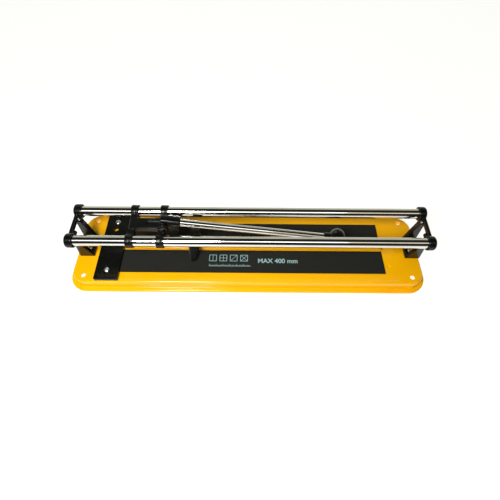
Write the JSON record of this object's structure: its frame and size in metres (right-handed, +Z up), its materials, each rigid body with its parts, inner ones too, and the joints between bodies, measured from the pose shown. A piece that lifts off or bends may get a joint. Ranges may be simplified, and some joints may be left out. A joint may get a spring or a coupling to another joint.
{
  "type": "manual tile cutter",
  "caption": "Manual tile cutter: a pressed tray with foam pads and a fence, two chrome rails, and a sliding carriage with a folding lever, scoring wheel and breaker foot.",
  "frame": {"origin": "middle of the tray's outline, on the surface that the tray stands on", "axes": "+X along the rails from the fence end to the far end, +Y to the back, +Z up"},
  "size_m": [0.499, 0.127, 0.0874],
  "materials": {
    "yellow_enamel": "glossy stoved enamel",
    "foam": "matt closed-cell foam",
    "chrome": "polished chrome plate",
    "black_enamel": "glossy black enamel",
    "knob_plastic": "glossy moulded plastic",
    "zinc": "bright zinc plate",
    "carbide": "ground carbide"
  },
  "bodies": {
    "base": {"base_tray": "yellow_enamel", "front_pad": "foam", "rear_pad": "foam", "fence_bar": "black_enamel", "fence_screw_front": "zinc", "fence_screw_rear": "zinc", "fence_nut_front": "zinc", "fence_nut_rear": "zinc", "left_bracket": "black_enamel", "right_bracket": "black_enamel", "left_bracket_bolt_front": "zinc", "left_bracket_bolt_rear": "zinc", "left_bracket_nut_front": "zinc", "left_bracket_nut_rear": "zinc", "right_bracket_bolt_front": "zinc", "right_bracket_bolt_rear": "zinc", "right_bracket_nut_front": "zinc", "right_bracket_nut_rear": "zinc", "left_rail_screw_front": "zinc", "left_rail_screw_rear": "zinc", "right_rail_screw_front": "zinc", "right_rail_screw_rear": "zinc", "front_rail": "chrome", "rear_rail": "chrome"},
    "carriage": {"carriage_frame": "black_enamel", "pivot_pin": "zinc", "pivot_clip": "zinc"},
    "lever": {"lever_head": "black_enamel", "handle_tube": "chrome", "handle_knob": "knob_plastic", "handle_set_screw": "zinc", "wheel_axle": "zinc", "breaker_foot": "black_enamel", "foot_screw": "zinc"},
    "wheel": {"scoring_wheel": "carbide"}
  },
  "joints": [
    {"name": "carriage_slide", "type": "slide", "parent": "base", "child": "carriage", "axis": [1, 0, 0], "range_m": [-0.055, 0.085]},
    {"name": "handle_pivot", "type": "hinge", "parent": "carriage", "child": "lever", "pos_m": [-0.111, 0, 0.079], "axis": [0, -1, 0], "range_deg": [0, 32]},
    {"name": "wheel_spin", "type": "hinge", "parent": "lever", "child": "wheel", "pos_m": [-0.10438, 0, 0.03038], "axis": [0, -1, 0], "continuous": true}
  ]
}
